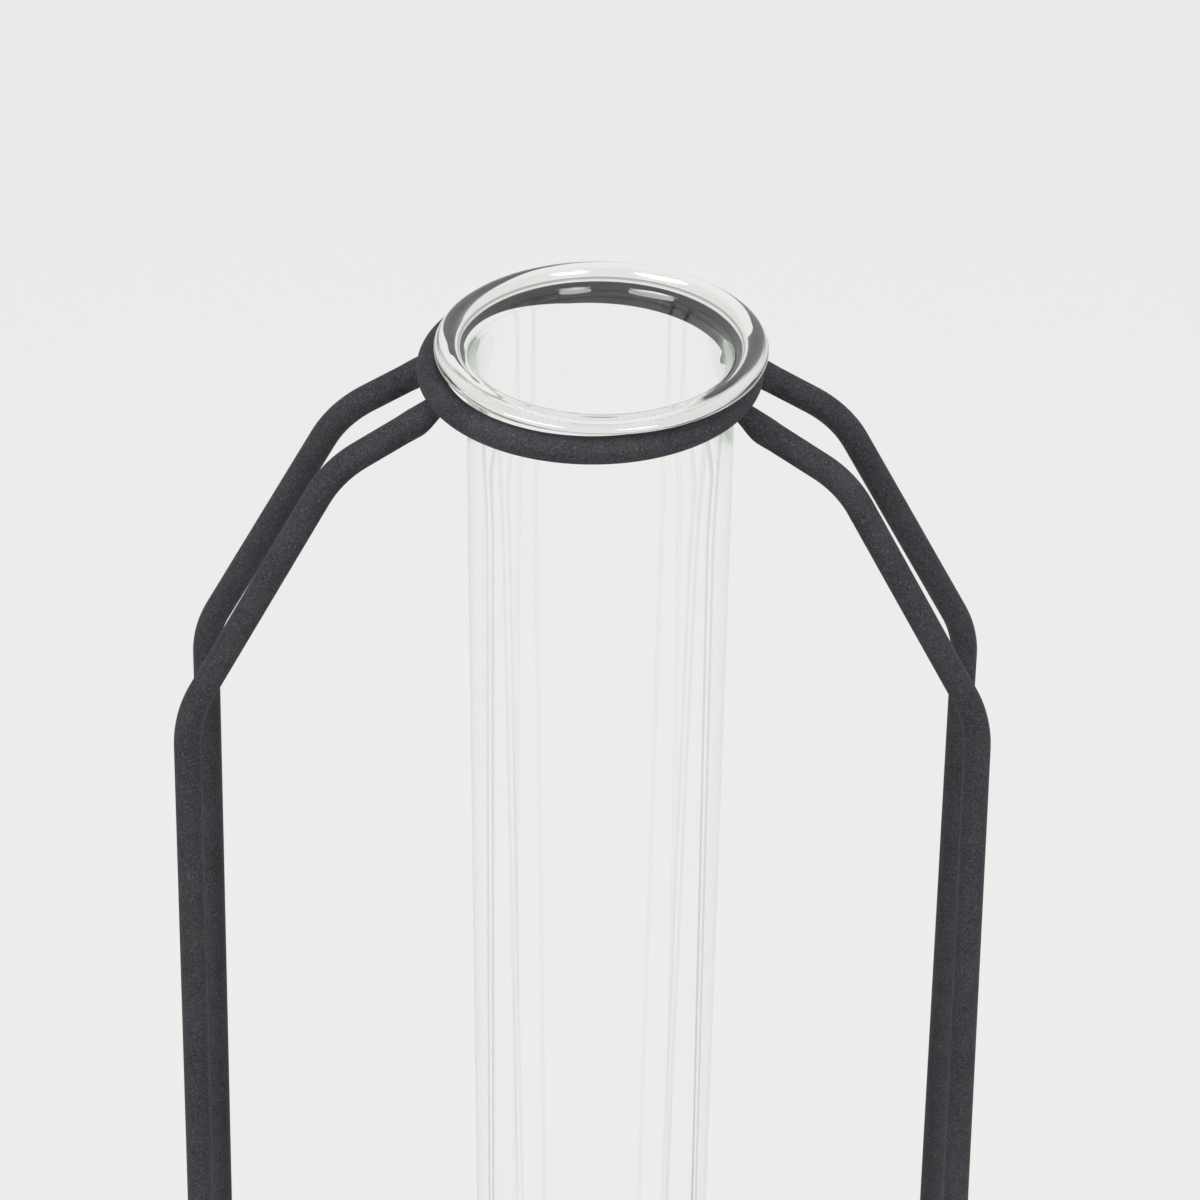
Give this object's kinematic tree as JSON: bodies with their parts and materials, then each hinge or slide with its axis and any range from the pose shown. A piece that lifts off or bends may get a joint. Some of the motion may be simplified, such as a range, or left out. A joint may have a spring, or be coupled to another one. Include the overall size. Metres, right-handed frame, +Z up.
{
  "type": "test-tube vase",
  "caption": "Clear glass test tube with a rolled lip, hanging in a ring of black coated wire carried by bent wire loops that lean together.",
  "frame": {"origin": "on the table, under the centre of the neck ring and midway between the two foot rails", "axes": "+Z up, +X to the right along the foot rails, -Y to the front"},
  "size_m": [0.1051, 0.0512, 0.214],
  "materials": {
    "coated_wire": "matt black powder coat with a fine sandy grain",
    "coated_weld": "matt black powder coat over a small weld",
    "clear_glass": "clear polished glass, faintly green where it is seen edge on"
  },
  "bodies": {
    "frame": {"neck_ring": "coated_wire", "front_loop": "coated_wire", "back_loop": "coated_wire", "front_right_weld": "coated_weld", "front_left_weld": "coated_weld", "back_right_weld": "coated_weld", "back_left_weld": "coated_weld"},
    "tube": {"glass_tube": "clear_glass"}
  },
  "joints": [
    {"name": "tube_lift", "type": "slide", "parent": "frame", "child": "tube", "axis": [0, 0, 1], "range_m": [0, 0.205]}
  ]
}
